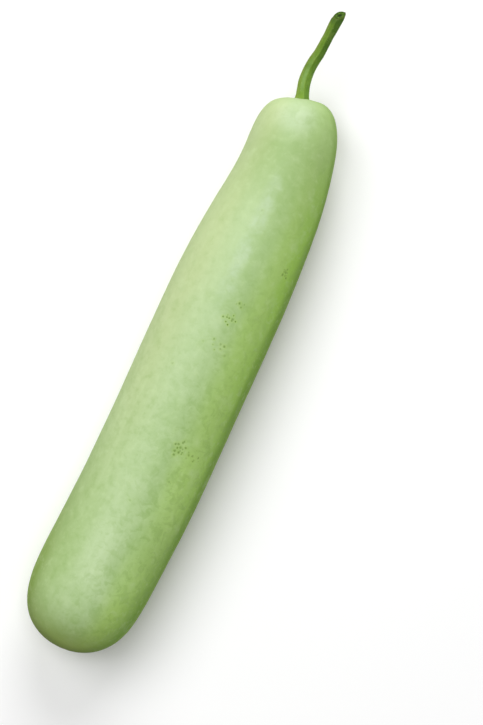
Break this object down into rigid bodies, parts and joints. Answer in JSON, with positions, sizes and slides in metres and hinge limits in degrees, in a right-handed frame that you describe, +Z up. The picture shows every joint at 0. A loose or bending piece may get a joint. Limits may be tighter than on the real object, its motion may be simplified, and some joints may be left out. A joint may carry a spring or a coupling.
{
  "type": "bottle gourd",
  "caption": "Long pale-green bottle gourd as picked, lying on its side, with a rounded blossom end, a narrower shoulder and its cut, curved stalk.",
  "frame": {"origin": "on the surface the gourd lies on, under the middle of its bounding box", "axes": "+Y along the gourd from the blossom end to the stalk, +Z up, +X to the right of the stalk end seen from above"},
  "size_m": [0.0794, 0.4503, 0.076],
  "materials": {
    "gourd_skin": "satin",
    "stalk_skin": "satin"
  },
  "bodies": {
    "root": {"fruit": "gourd_skin", "stem": "stalk_skin"}
  },
  "joints": []
}
